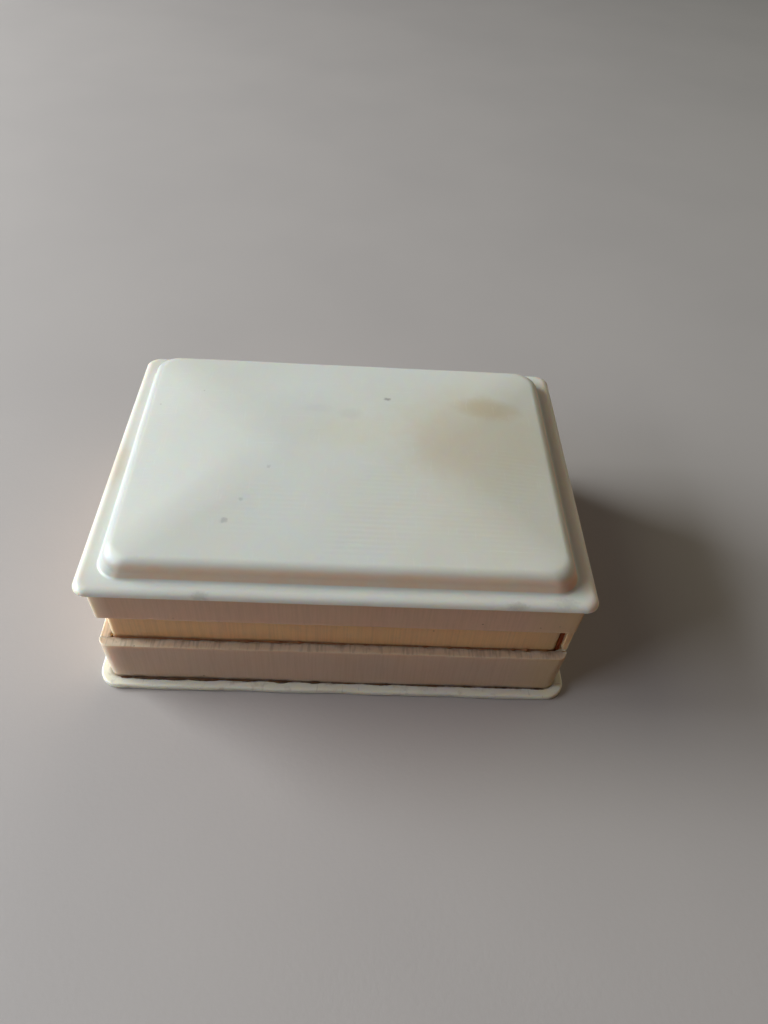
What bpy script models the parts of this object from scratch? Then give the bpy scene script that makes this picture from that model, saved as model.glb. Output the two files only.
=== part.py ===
"""Rosin cake in a small two-part plastic box.

The box is built from flat strips of sheet plastic glued at their edges. A base plate
carries four wall strips, and a taller collar of four thin strips stands inside them
with the rosin cake cast in it. The lid is a pressed top, a flat brim with a low hipped
dome, with four skirt strips under it that slip over the collar. It lifts straight off.

Metres, +Z up, +X to the right, and the front of the box faces -Y. The origin is at
the middle of the underside of the base plate.
"""

import math

import bmesh
import bpy

MM = 0.001

# Joints between glued pieces, and the running gap between lid and collar.
JOINT_GAP = 0.30 * MM
EDGE_ROUND = 0.18 * MM

# Sheet thicknesses.
TOP_SHEET = 1.15 * MM
SKIRT_SHEET = 1.00 * MM
COLLAR_SHEET = 0.80 * MM
WALL_SHEET = 1.30 * MM
PLATE_SHEET = 1.15 * MM

# Base plate.
PLATE_LENGTH = 76.8 * MM
PLATE_WIDTH = 57.0 * MM
PLATE_CORNER = 3.4 * MM

# Wall strips, measured over their outer faces at the ledge.
WALL_LENGTH = 73.8 * MM
WALL_WIDTH = 53.9 * MM
LEDGE_HEIGHT = 10.25 * MM
WALL_SIDE_TAPER = 0.35 * MM
WALL_CORNER = 1.1 * MM

# Collar strips, over their outer faces.
COLLAR_LENGTH = 70.4 * MM
COLLAR_WIDTH = 50.5 * MM
COLLAR_RIM = 23.70 * MM
COLLAR_CORNER = 0.5 * MM
LEFT_END_LEAN = 0.50 * MM
RIGHT_END_LEAN = 0.25 * MM

# Lid: brim, skirt and dome.
BRIM_LENGTH = 76.0 * MM
BRIM_WIDTH = 55.6 * MM
BRIM_CORNER = 2.2 * MM
BRIM_UNDERSIDE = 24.00 * MM
SKIRT_LENGTH = 73.4 * MM
SKIRT_WIDTH = 53.2 * MM
SKIRT_DEPTH = 7.30 * MM
SKIRT_TAPER = 0.20 * MM
SKIRT_CORNER = 0.55 * MM
RIGHT_SKIRT_SHEET = 1.20 * MM
RIGHT_SKIRT_DROP = 5.60 * MM
RIGHT_SKIRT_TAPER = 0.35 * MM
DOME_INSET = 2.60 * MM
DOME_CORNER = 3.40 * MM
DOME_FILLET = 0.60 * MM
DOME_SHOULDER = 3.00 * MM
DOME_SHOULDER_ROUND = 1.90 * MM
DOME_DRAFT = 0.35 * MM
DOME_RISE = 1.80 * MM
DOME_RIGHT_IN = 0.30 * MM
DOME_LEFT_IN = 0.35 * MM
DOME_LEFT_SKEW = 0.013
RIDGE_SOFTNESS = 0.35

# The lid's play over the collar lets it sit a little to the right.
LID_SEAT = 0.32 * MM

# Rosin cake.
CAKE_HEIGHT = 24.10 * MM
CAKE_DRAFT = 1.10 * MM
CAKE_CORNER = 1.80 * MM
CAKE_EDGE_ROUND = 0.90 * MM
TROUGH_RADIUS = 62.00 * MM
TROUGH_DEPTH = 0.90 * MM

# How finely the curved stretches are divided.
CORNER_STEPS = 6
FILLET_STEPS = 3
SHOULDER_STEPS = 5
ROOF_STEPS = 8

IVORY = (0.80, 0.74, 0.60)
IVORY_WARM = (0.78, 0.68, 0.52)
AMBER_TINT = (0.74, 0.52, 0.27)
ROSIN = (0.36, 0.13, 0.03)


def material(name, colour, roughness):
    """A Principled material with one colour."""
    made = bpy.data.materials.new(name)
    made.use_nodes = True
    shader = made.node_tree.nodes["Principled BSDF"]
    shader.inputs["Base Color"].default_value = (*colour, 1.0)
    shader.inputs["Roughness"].default_value = roughness
    shader.inputs["Metallic"].default_value = 0.0
    made.diffuse_color = (*colour, 1.0)
    return made


def new_object(name, form, collection, finish=None, location=(0.0, 0.0, 0.0)):
    """Turns a bmesh into a named object in the collection."""
    mesh = bpy.data.meshes.new(name)
    form.to_mesh(mesh)
    form.free()
    obj = bpy.data.objects.new(name, mesh)
    obj.location = location
    collection.objects.link(obj)
    if finish:
        mesh.materials.append(finish)
    return obj


def round_edges(obj, width, segments=2):
    """A Bevel on the edges sharper than 40 degrees."""
    bevel = obj.modifiers.new("rounded edges", "BEVEL")
    bevel.width = width
    bevel.segments = segments
    bevel.limit_method = "ANGLE"
    bevel.angle_limit = math.radians(40)


def block(size):
    """A bmesh box of the given size, centred on the origin."""
    form = bmesh.new()
    bmesh.ops.create_cube(form, size=1.0)
    bmesh.ops.scale(form, vec=size, verts=form.verts)
    return form


def strip(name, low, high, collection, finish, half, taper, corner):
    """A strip of sheet between two corners of a frame of strips, half its size across.

    Faces on the frame's outside come in by taper at the foot, and its upright edges on
    the frame's corners are rounded. half and taper are by x and y.
    """
    size = [b - a for a, b in zip(low, high)]
    centre = [(a + b) / 2 for a, b in zip(low, high)]
    form = block(size)

    def outside(vert, axis):
        return abs(abs(vert.co[axis] + centre[axis]) - half[axis]) < 0.01 * MM

    on_corner = [
        edge for edge in form.edges
        if abs(edge.verts[0].co.z - edge.verts[1].co.z) > size[2] / 2
        and all(outside(vert, 0) and outside(vert, 1) for vert in edge.verts)
    ]
    moves = [(v, a) for v in form.verts for a in (0, 1) if v.co.z < 0 and outside(v, a)]
    for vert, axis in moves:
        vert.co[axis] -= math.copysign(taper[axis], vert.co[axis] + centre[axis])
    if on_corner:
        bmesh.ops.bevel(
            form, geom=on_corner, offset=corner, segments=CORNER_STEPS, profile=0.5,
            affect="EDGES",
        )
    obj = new_object(name, form, collection, finish, centre)
    round_edges(obj, EDGE_ROUND)
    return obj


def ring_of_strips(prefix, length, width, sheet, foot, top, taper, corner, collection, finish):
    """Four strips as a frame: front and back run its full length, the sides fit between."""
    x = length / 2
    y = width / 2
    end = y - sheet - JOINT_GAP
    spans = {
        "front": ((-x, -y), (x, sheet - y)),
        "back": ((-x, y - sheet), (x, y)),
        "left": ((-x, -end), (sheet - x, end)),
        "right": ((x - sheet, -end), (x, end)),
    }
    return {
        side: strip(
            f"{prefix}_{side}", (*low, foot), (*high, top), collection, finish, (x, y), taper, corner
        )
        for side, (low, high) in spans.items()
    }


def rounded_slab(name, size, corner, bottom, collection, finish, draft=0.0):
    """An upright block with rounded corners in plan, narrowed by draft at the top."""
    form = block(size)
    upright = [e for e in form.edges if abs(e.verts[0].co.z - e.verts[1].co.z) > size[2] / 2]
    bmesh.ops.bevel(
        form, geom=upright, offset=corner, segments=CORNER_STEPS, profile=0.5, affect="EDGES"
    )
    for vert in form.verts:
        if vert.co.z > 0:
            vert.co.x *= 1 - 2 * draft / size[0]
            vert.co.y *= 1 - 2 * draft / size[1]
    return new_object(name, form, collection, finish, (0.0, 0.0, bottom + size[2] / 2))


def rounded_ring(form, half_x, half_y, radius, z):
    """Vertices of a rectangle with arcs at its corners, counterclockwise from the front right."""
    centres = (
        (half_x - radius, radius - half_y, -90),
        (half_x - radius, half_y - radius, 0),
        (radius - half_x, half_y - radius, 90),
        (radius - half_x, radius - half_y, 180),
    )
    ring = []
    for x, y, start in centres:
        for step in range(CORNER_STEPS + 1):
            angle = math.radians(start + 90 * step / CORNER_STEPS)
            ring.append(
                form.verts.new((x + radius * math.cos(angle), y + radius * math.sin(angle), z))
            )
    return ring


def dome_stations():
    """(inset from the brim's edge, height over the brim's upper face, corner radius) of each ring."""
    stations = [(0.0, 0.0, BRIM_CORNER)]
    foot_corner = DOME_CORNER + DOME_FILLET
    for step in range(FILLET_STEPS + 1):
        angle = math.radians(90 * step / FILLET_STEPS)
        out = DOME_FILLET * math.sin(angle)
        up = DOME_FILLET * (1 - math.cos(angle))
        stations.append((DOME_INSET - DOME_FILLET + out, up, foot_corner - out))
    side_top = DOME_SHOULDER - DOME_SHOULDER_ROUND
    for step in range(SHOULDER_STEPS + 1):
        angle = math.radians(86 * step / SHOULDER_STEPS)
        inward = DOME_DRAFT + DOME_SHOULDER_ROUND * (1 - math.cos(angle))
        up = side_top + DOME_SHOULDER_ROUND * math.sin(angle)
        stations.append((DOME_INSET + inward, up, DOME_CORNER))
    edge_inset, edge_height, _ = stations[-1]
    reach = BRIM_WIDTH / 2 - edge_inset
    for step in range(1, ROOF_STEPS + 1):
        share = step / (ROOF_STEPS + 0.25)
        inward = reach * share
        up = DOME_RISE * (1 - (1 - share) ** 1.5)
        soft = min(DOME_CORNER + RIDGE_SOFTNESS * inward, (reach - inward) * 0.98)
        stations.append((edge_inset + inward, edge_height + up, soft))
    return stations


def stand_in(x, y):
    """The dome's x with its ends drawn in: evenly on the right, and a little askew on the left."""
    end_in = DOME_RIGHT_IN if x > 0 else DOME_LEFT_IN - DOME_LEFT_SKEW * y
    return x * (1 - end_in / (BRIM_LENGTH / 2 - DOME_INSET))


def lid_top(collection, finish):
    """The pressed top: one open surface lofted through the rings, thickened downwards."""
    form = bmesh.new()
    rings = []
    for inset, height, radius in dome_stations():
        z = BRIM_UNDERSIDE + TOP_SHEET + height
        rings.append(
            rounded_ring(form, BRIM_LENGTH / 2 - inset, BRIM_WIDTH / 2 - inset, radius, z)
        )
    for vert in [vert for ring in rings[1:] for vert in ring]:
        vert.co.x = stand_in(vert.co.x, vert.co.y)
    for outer, inner in zip(rings, rings[1:]):
        for i, vert in enumerate(outer):
            after = (i + 1) % len(outer)
            form.faces.new((vert, outer[after], inner[after], inner[i]))
    form.faces.new(rings[-1])
    obj = new_object("lid_top", form, collection, finish)
    sheet = obj.modifiers.new("sheet thickness", "SOLIDIFY")
    sheet.thickness = TOP_SHEET
    sheet.offset = -1.0
    sheet.use_even_offset = True
    round_edges(obj, 0.30 * MM)
    obj.data.shade_smooth()
    obj.data.set_sharp_from_angle(angle=math.radians(50))
    return obj


def lid(collection, finish):
    """The pressed top and its four skirt strips, carried by an empty on the lifting axis."""
    lift_axis = bpy.data.objects.new("lid_lift_axis", None)
    lift_axis.empty_display_size = 0.01
    lift_axis.location = (0.0, 0.0, BRIM_UNDERSIDE)
    collection.objects.link(lift_axis)
    top = BRIM_UNDERSIDE - JOINT_GAP
    foot = BRIM_UNDERSIDE - SKIRT_DEPTH
    skirt = ring_of_strips(
        "lid_skirt", SKIRT_LENGTH, SKIRT_WIDTH, SKIRT_SHEET, foot, top,
        (SKIRT_TAPER, SKIRT_TAPER), SKIRT_CORNER, collection, finish,
    )
    # The right strip is thicker and much wider than the rest, and reaches nearly to the ledge.
    for vert in skirt["right"].data.vertices:
        if vert.co.x < 0:
            vert.co.x -= RIGHT_SKIRT_SHEET - SKIRT_SHEET
        elif vert.co.z < 0:
            vert.co.x -= RIGHT_SKIRT_TAPER - SKIRT_TAPER
        if vert.co.z < 0:
            vert.co.z -= RIGHT_SKIRT_DROP
    for piece in [lid_top(collection, finish), *skirt.values()]:
        piece.location.x += LID_SEAT
        piece.location.z -= BRIM_UNDERSIDE
        piece.parent = lift_axis


def base(collection, ivory, amber):
    """The plate, the four wall strips and the four collar strips."""
    plate = rounded_slab(
        "base_plate", (PLATE_LENGTH, PLATE_WIDTH, PLATE_SHEET), PLATE_CORNER, 0.0,
        collection, ivory,
    )
    round_edges(plate, 0.25 * MM)
    foot = PLATE_SHEET + JOINT_GAP
    ring_of_strips(
        "base_wall", WALL_LENGTH, WALL_WIDTH, WALL_SHEET, foot, LEDGE_HEIGHT,
        (WALL_SIDE_TAPER, 0.0), WALL_CORNER, collection, ivory,
    )
    collar = ring_of_strips(
        "collar", COLLAR_LENGTH, COLLAR_WIDTH, COLLAR_SHEET, foot, COLLAR_RIM,
        (0.0, 0.0), COLLAR_CORNER, collection, amber,
    )
    # The front strip's ends lean in towards the rim, the left more than the right.
    for vert in collar["front"].data.vertices:
        if vert.co.z > 0:
            vert.co.x += LEFT_END_LEAN if vert.co.x < 0 else -RIGHT_END_LEAN


def rosin_cake(collection, cutters, finish):
    """The cast cake, rounded on top, with the shallow trough that a bow wears along it."""
    length = COLLAR_LENGTH - 2 * (COLLAR_SHEET + JOINT_GAP)
    width = COLLAR_WIDTH - 2 * (COLLAR_SHEET + JOINT_GAP)
    bottom = PLATE_SHEET + JOINT_GAP
    cake = rounded_slab(
        "rosin_cake", (length, width, CAKE_HEIGHT), CAKE_CORNER, bottom, collection, finish,
        draft=CAKE_DRAFT,
    )
    form = bmesh.new()
    bmesh.ops.create_cone(
        form, cap_ends=True, segments=160, radius1=TROUGH_RADIUS, radius2=TROUGH_RADIUS,
        depth=length * 1.2,
    )
    cutter = new_object("bow_trough", form, cutters)
    cutter.rotation_euler = (0.0, math.radians(90), 0.0)
    cutter.location.z = bottom + CAKE_HEIGHT + TROUGH_RADIUS - TROUGH_DEPTH
    cutter.hide_render = True
    cutter.display_type = "WIRE"
    cut = cake.modifiers.new("bow trough", "BOOLEAN")
    cut.operation = "DIFFERENCE"
    cut.object = cutter
    round_edges(cake, CAKE_EDGE_ROUND, segments=3)
    cake.data.shade_smooth()
    cake.data.set_sharp_from_angle(angle=math.radians(40))
    return cake


def main():
    for obj in list(bpy.data.objects):
        bpy.data.objects.remove(obj, do_unlink=True)
    parts = bpy.data.collections.new("rosin_cake_box")
    cutters = bpy.data.collections.new("cutters")
    bpy.context.scene.collection.children.link(parts)
    bpy.context.scene.collection.children.link(cutters)
    ivory = material("ivory plastic", IVORY, 0.35)
    base(parts, material("ivory plastic, base", IVORY_WARM, 0.4), material("collar", AMBER_TINT, 0.35))
    lid(parts, ivory)
    rosin_cake(parts, cutters, material("rosin", ROSIN, 0.15))


main()
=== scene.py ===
"""Looks of the boxed rosin cake: aged ivory plastic, an amber collar and the cast cake.

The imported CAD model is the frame, and every piece is worked out from its boxes. Fine
lofts stand for the CAD solids: the pressed lid with its drawn ribs, sawn sheet strips
with worn edges, and the cake with chips and bow marks. Glue and dirt lie in the joints.

Metres, +Z up, +X to the right, the front of the box faces -Y. Node patterns are in mm.
"""

import math

import bpy
import numpy as np
from mathutils import Matrix, Vector


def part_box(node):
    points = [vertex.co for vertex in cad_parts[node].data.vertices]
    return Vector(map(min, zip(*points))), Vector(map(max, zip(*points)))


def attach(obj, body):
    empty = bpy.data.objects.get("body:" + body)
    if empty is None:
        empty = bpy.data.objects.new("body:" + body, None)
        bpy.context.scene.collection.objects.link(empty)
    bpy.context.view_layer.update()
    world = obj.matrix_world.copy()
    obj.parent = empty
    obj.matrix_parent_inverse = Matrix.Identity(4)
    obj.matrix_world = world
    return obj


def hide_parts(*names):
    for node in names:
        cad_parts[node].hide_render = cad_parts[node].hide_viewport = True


MM = 0.001

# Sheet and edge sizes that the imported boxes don't give.
TOP_SHEET = 1.15 * MM
BRIM_TOP_ROUND = 0.92 * MM
BRIM_TOP_SPREAD = 1.45
BRIM_FOOT_ROUND = 0.20 * MM
BRIM_FLAT_INSET = 1.01 * BRIM_TOP_ROUND * BRIM_TOP_SPREAD
BRIM_CORNER = 2.2 * MM
BRIM_CORNER_CLOSING = 0.6
STRIP_ROUND = 0.18 * MM
PLATE_CORNER = 3.4 * MM
PLATE_ROUND = 0.36 * MM
NICK_SPACING = 2.6 * MM
WALL_CORNER = 1.60 * MM
COLLAR_CORNER = 0.70 * MM
SKIRT_CORNER = 0.85 * MM

# How far a glued strip reaches into its joint, and the wall's ledge towards the collar.
GLUED = 0.29 * MM
LEDGE_FILL = 0.38 * MM

# The lid's dome, measured from the brim's edge and its upper face.
DOME_INSET = 2.60 * MM
DOME_CORNER = 3.40 * MM
DOME_FILLET = 0.60 * MM
DOME_SHOULDER = 3.00 * MM
DOME_SHOULDER_ROUND = 1.90 * MM
DOME_DRAFT = 0.35 * MM
DOME_RIGHT_IN = 0.30 * MM
DOME_LEFT_IN = 0.35 * MM
DOME_LEFT_SKEW = 0.013
RIDGE_SOFTNESS = 0.14
CROWN_SHARE = 0.985
RIB_PITCH = 0.93 * MM
RIB_HEIGHT = 0.015 * MM
LID_WAVE = 0.035 * MM

# The cake's cast form.
CAKE_DRAFT = 1.10 * MM
CAKE_CORNER = 1.80 * MM
CAKE_EDGE_ROUND = 0.90 * MM
TROUGH_RADIUS = 62.00 * MM
TROUGH_DEPTH = 0.90 * MM
RIM_CHIPS = 46

# How finely the lofts are divided.
ROOF_RINGS = 98
UNDERSIDE_RINGS = 10
STRIP_END_RINGS = 9
STRIP_STEP = 0.45 * MM
CAKE_TOP_RINGS = 64


# ---------------------------------------------------------------- geometry helpers


def swell(points, wavelength, seed, waves=7):
    """Smooth random values, mostly between -1 and 1, at the points: a sum of plane waves."""
    draw = np.random.default_rng(seed)
    total = np.zeros(len(points))
    for _ in range(waves):
        direction = draw.normal(size=points.shape[1])
        direction /= np.linalg.norm(direction)
        turns = 2 * math.pi / (wavelength * draw.uniform(0.7, 1.6))
        total += np.sin(points @ direction * turns + draw.uniform(0, 2 * math.pi))
    return total / math.sqrt(waves)


def smooth(values, low, high):
    """0 below low, 1 above high, and an S-curve between."""
    share = np.clip((values - low) / (high - low), 0, 1)
    return share * share * (3 - 2 * share)


def outline(half_x, half_y, radius, steps_x, steps_y, corner_steps=8):
    """A rectangle with rounded corners, counterclockwise: its points and outward normals."""
    points, normals = [], []
    corners = ((1, -1, -90), (1, 1, 0), (-1, 1, 90), (-1, -1, 180))
    for number, (side_x, side_y, start) in enumerate(corners):
        centre = np.array((side_x * (half_x - radius), side_y * (half_y - radius)))
        angles = np.radians(start + np.linspace(0, 90, corner_steps + 1))
        arc = np.stack((np.cos(angles), np.sin(angles)), axis=1)
        points.append(centre + radius * arc)
        normals.append(arc)
        steps = steps_y if number % 2 == 0 else steps_x
        share = (np.arange(1, steps) / steps)[:, None]
        following = np.array(corners[(number + 1) % 4][:2])
        leg_end = following * (half_x - radius, half_y - radius) + radius * arc[-1]
        points.append(points[-1][-1] * (1 - share) + leg_end * share)
        normals.append(np.repeat(arc[-1:], steps - 1, axis=0))
    return np.concatenate(points), np.concatenate(normals)


def loft(name, rings, finish, sharp=50):
    """A closed mesh through rings of equal length, counterclockwise about the way it grows."""
    rings = np.asarray(rings)
    count, around, _ = rings.shape
    grid = np.arange(count * around).reshape(count, around)
    after = np.roll(grid, -1, axis=1)
    quads = np.stack((grid[:-1], after[:-1], after[1:], grid[1:]), axis=-1)
    faces = quads.reshape(-1, 4).tolist()
    faces += [grid[0][::-1].tolist(), grid[-1].tolist()]
    mesh = bpy.data.meshes.new(name)
    mesh.from_pydata(rings.reshape(-1, 3), [], faces)
    mesh.shade_smooth()
    mesh.set_sharp_from_angle(angle=math.radians(sharp))
    mesh.materials.append(finish)
    obj = bpy.data.objects.new(name, mesh)
    bpy.context.scene.collection.objects.link(obj)
    return obj


def settle(obj, body, slot, *nodes):
    """The piece rides on a CAD body and stands for the nodes, which are hidden. slot is not used."""
    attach(obj, body)
    if nodes:
        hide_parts(*nodes)
    return obj


# ---------------------------------------------------------------- the pressed lid top


def brim_edge(steps=8):
    """(inset, height) from under the brim, round its edge and onto its upper face at height 0."""
    path = []
    for radius, spread, middle, start in (
        (BRIM_FOOT_ROUND, 1.0, BRIM_FOOT_ROUND - TOP_SHEET, 270),
        (BRIM_TOP_ROUND, BRIM_TOP_SPREAD, -BRIM_TOP_ROUND, 0),
    ):
        for angle in np.radians(start + np.linspace(0, 90, steps + 1)):
            inset = spread * radius * (1 - math.cos(angle))
            path.append((inset, middle + radius * math.sin(angle)))
    return path


def stand_in(ring, half_x):
    """Draws in the dome's ends: evenly on the right, and a little askew on the left."""
    end_in = np.where(ring[:, 0] > 0, DOME_RIGHT_IN, DOME_LEFT_IN - DOME_LEFT_SKEW * ring[:, 1])
    ring[:, 0] *= 1 - end_in / (half_x - DOME_INSET)


def dome_profile(rise, reach, roof_rings):
    """(inset, height, corner radius, roof share) from the dome's foot to its crown."""
    path = []
    foot_corner = DOME_CORNER + DOME_FILLET
    for angle in np.radians(np.linspace(0, 90, 7)):
        out = DOME_FILLET * math.sin(angle)
        up = DOME_FILLET * (1 - math.cos(angle))
        path.append((DOME_INSET - DOME_FILLET + out, up, foot_corner - out, 0.0))
    side_top = DOME_SHOULDER - DOME_SHOULDER_ROUND
    for angle in np.radians(np.linspace(0, 86, 16)):
        inward = DOME_DRAFT + DOME_SHOULDER_ROUND * (1 - math.cos(angle))
        up = side_top + DOME_SHOULDER_ROUND * math.sin(angle)
        path.append((DOME_INSET + inward, up, DOME_CORNER, 0.0))
    edge_inset, edge_height = path[-1][:2]
    reach -= edge_inset
    for step in range(1, roof_rings + 1):
        share = CROWN_SHARE * step / roof_rings
        up = rise * (1 - (1 - share) ** 1.5)
        inward = reach * share
        soft = min(DOME_CORNER + RIDGE_SOFTNESS * inward, (reach - inward) * 0.98)
        path.append((edge_inset + inward, edge_height + up, soft, share))
    return path


def offset_inwards(path, thickness):
    """The profile's inner side: each point moved by the sheet's thickness along its normal."""
    flat = np.array([(inset, height) for inset, height, *_ in path])
    along = np.gradient(flat, axis=0)
    along /= np.linalg.norm(along, axis=1)[:, None]
    moved = flat - thickness * np.stack((-along[:, 1], along[:, 0]), axis=1)
    return [
        (inset, height, max(radius + old - inset, 0.05 * MM), share)
        for (inset, height), (old, _, radius, share) in zip(moved.tolist(), path)
    ]


def pressed_lid(finish):
    """The lid's top in one sheet: brim, fillet, dome wall, soft shoulder and hipped roof."""
    low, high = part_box("lid_top")
    seat = (low.x + high.x) / 2
    half_x, half_y = high.x - seat, high.y
    brim_top = low.z + TOP_SHEET
    roof_foot = dome_profile(0.0, half_y, 1)[-2][1]
    rise = high.z - brim_top - roof_foot
    outer = dome_profile(rise, half_y, ROOF_RINGS)
    inner = offset_inwards(dome_profile(rise, half_y, UNDERSIDE_RINGS), TOP_SHEET)
    under = [(inset, height, radius, 0.0) for inset, height, radius, _ in inner]
    edge = [
        (inset, height, BRIM_CORNER - BRIM_CORNER_CLOSING * inset, 0.0)
        for inset, height in brim_edge()
    ]
    profile = under[::-1] + edge + outer
    rings = []
    for inset, height, radius, share in profile:
        flat, _ = outline(half_x - inset, half_y - inset, radius, 60, 190, 40)
        ring = np.column_stack((flat, np.full(len(flat), brim_top + height)))
        if inset > BRIM_FLAT_INSET:
            stand_in(ring, half_x)
        if share > 0:
            ring[:, 2] += ribs(ring, share)
        rings.append(ring)
    rings = np.array(rings)
    rings[:, :, 0] += seat
    wander = swell(rings.reshape(-1, 3), 22 * MM, 5).reshape(rings.shape[:2])
    rings[:, :, 2] += LID_WAVE * (wander - wander.max())
    return settle(loft("lid_pressed_top", rings, finish), "lid", "ivory_lid", "lid_top")


def ribs(ring, share):
    """Fine ribs along the dome, left by the rolls the sheet came from, strongest in front."""
    rows = np.cos(2 * math.pi * ring[:, 1] / RIB_PITCH + 0.4 * swell(ring, 30 * MM, 8))
    patchy = smooth(swell(ring[:, :2], 14 * MM, 9), -1.0, 0.9)
    front = smooth(-ring[:, 1], -6 * MM, 8 * MM)
    ends = smooth(ring[:, 0], -26 * MM, -6 * MM)
    return RIB_HEIGHT * (rows - 1) * patchy * front * (0.35 + 0.65 * ends) * min(1, share * 12)


# ---------------------------------------------------------------- sawn strips


def strip_corners(node, growth):
    """The eight corners of a CAD strip before its edges were rounded, by x, y and z side.

    growth says how far each side (by axis, low and high) reaches into a glued joint.
    """
    points = np.array([v.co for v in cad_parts[node].data.vertices])
    corners = np.zeros((2, 2, 2, 3))
    for k, level in enumerate((points[:, 2].min(), points[:, 2].max())):
        flat = points[abs(points[:, 2] - level) < 0.01 * MM]
        reach = (flat.min(0) - STRIP_ROUND - growth[:, 0], flat.max(0) + STRIP_ROUND + growth[:, 1])
        level += (-growth[2, 0], growth[2, 1])[k]
        for i in range(2):
            for j in range(2):
                corners[i, j, k] = (reach[i][0], reach[j][1], level)
    return corners


def blend_corners(corners, shares):
    """Points at shares (0 to 1 by x, y and z) between the eight corners."""
    place = np.zeros(shares.shape)
    for i in range(2):
        for j in range(2):
            for k in range(2):
                weight = np.ones(len(shares))
                for axis, side in enumerate((i, j, k)):
                    weight = weight * (shares[:, axis] if side else 1 - shares[:, axis])
                place += weight[:, None] * corners[i, j, k]
    return place


def sawn_strip(node, body, slot, finish, seed, growth, corner, saw, wear):
    """A strip of sheet with sawn narrow faces, softened edges, nicks and a slight bow.

    corner holds the radius of its outer upright edge at each end, 0 where it is glued. saw
    and wear are depths in mm: of the saw's marks and of the nicks along the edges.
    """
    draw = np.random.default_rng(seed)
    corners = strip_corners(node, growth)
    span = (corners[1, 1, 1] - corners[0, 0, 0]).tolist()
    long_axis = 0 if span[0] > span[1] else 1
    wide_axis = 1 - long_axis
    length, thick, height = span[long_axis], abs(span[wide_axis]), span[2]
    middle = corners.reshape(-1, 3).mean(0)
    outer_side = 1 if middle[wide_axis] > 0 else -1
    round_off = 1.1 * STRIP_ROUND
    turns = np.radians(np.linspace(0, 90, STRIP_END_RINGS))
    bend = [max(radius, 0.1 * STRIP_ROUND) for radius in corner]
    count = max(4, round((length - sum(bend)) / STRIP_STEP))
    middle_stations = np.linspace(bend[0], length - bend[1], count + 1)[1:-1]
    first_end = bend[0] * (1 - np.cos(turns))
    last_end = length - bend[1] * (1 - np.cos(turns[::-1]))
    stations = np.concatenate((first_end, middle_stations, last_end))
    pared = np.zeros(len(stations))
    pared[:STRIP_END_RINGS] = bend[0] * (1 - np.sin(turns))
    pared[-STRIP_END_RINGS:] = bend[1] * (1 - np.sin(turns[::-1]))
    pared = np.minimum(pared, 0.86 * thick)
    end_gap = np.minimum(stations, length - stations)
    insets = np.maximum(0.3 * round_off - end_gap, 0) * (max(corner) > 0)
    nicks = [
        (draw.uniform(0, length), draw.integers(0, 4), draw.uniform(0.25, 0.9), draw.uniform(0.3, 1))
        for _ in range(int(length / NICK_SPACING))
    ]
    marks = draw.uniform(-1, 1, size=(4, len(stations)))
    rings = []
    for number, (station, inset) in enumerate(zip(stations, insets)):
        flat, normals = outline(
            thick / 2 - inset, height / 2 - inset, max(round_off - inset, 0.02 * MM),
            4, max(6, round(height / (0.8 * MM))), 4,
        )
        inward = np.zeros(len(flat))
        narrow = abs(normals[:, 1]) > 0.7
        broad = ~narrow
        inward[narrow] += saw * MM * (0.5 + 0.5 * marks[0, number])
        inward[broad] += 0.25 * saw * MM * (0.5 + 0.5 * marks[1, number])
        for place, edge, reach, depth in nicks:
            if abs(place - station) < 3 * reach * MM:
                across, upright = 1 - 2 * (edge % 2), 1 - 2 * (edge // 2)
                gap = np.linalg.norm(flat - (thick / 2 * across, height / 2 * upright), axis=1)
                near = (gap ** 2 + (place - station) ** 2) / (reach * MM) ** 2
                inward += depth * wear * MM * np.exp(-near)
        flat = flat - normals * inward[:, None]
        inner_face = -outer_side * thick / 2
        flat[:, 0] = inner_face + (flat[:, 0] - inner_face) * (1 - pared[number] / thick)
        shares = np.zeros((len(flat), 3))
        along_share = station / length
        if long_axis == 0:
            # The section's first axis points to -Y so that rings turn about +X.
            shares[:, 0] = along_share
            shares[:, 1] = 0.5 + flat[:, 0] / thick
        else:
            shares[:, 1] = 1 - along_share
            shares[:, 0] = 0.5 + flat[:, 0] / thick
        shares[:, 2] = 0.5 + flat[:, 1] / height
        rings.append(blend_corners(corners, shares))
    rings = np.array(rings)
    wave = swell(rings.reshape(-1, 3), 16 * MM, seed + 1).reshape(rings.shape[:2])
    rings[:, :, wide_axis] += outer_side * 0.03 * MM * (wave - wave.max())
    name = node + "_strip"
    return settle(loft(name, rings, finish, 60), body, slot, node)


def strips_around(prefix, body, slot, finish, seed, corner, saw, wear, glued_end=0, fill=0.0):
    """Four strips: front and back with rounded outer corners, and the sides between them.

    glued_end is 0 where the strips stand on a sheet and 1 where they hang from one. fill
    is how far they reach inwards.
    """
    for order, side in enumerate(("front", "back", "left", "right")):
        full_length = order < 2
        growth = np.zeros((3, 2))
        growth[2, glued_end] = GLUED
        growth[1 if full_length else 0, 1 - order % 2] = fill
        if not full_length:
            growth[1] = GLUED - fill
        ends = (corner, corner) if full_length else (0.0, 0.0)
        sawn_strip(prefix + side, body, slot, finish, seed + order, growth, ends, saw, wear)


# ---------------------------------------------------------------- base plate


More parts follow.
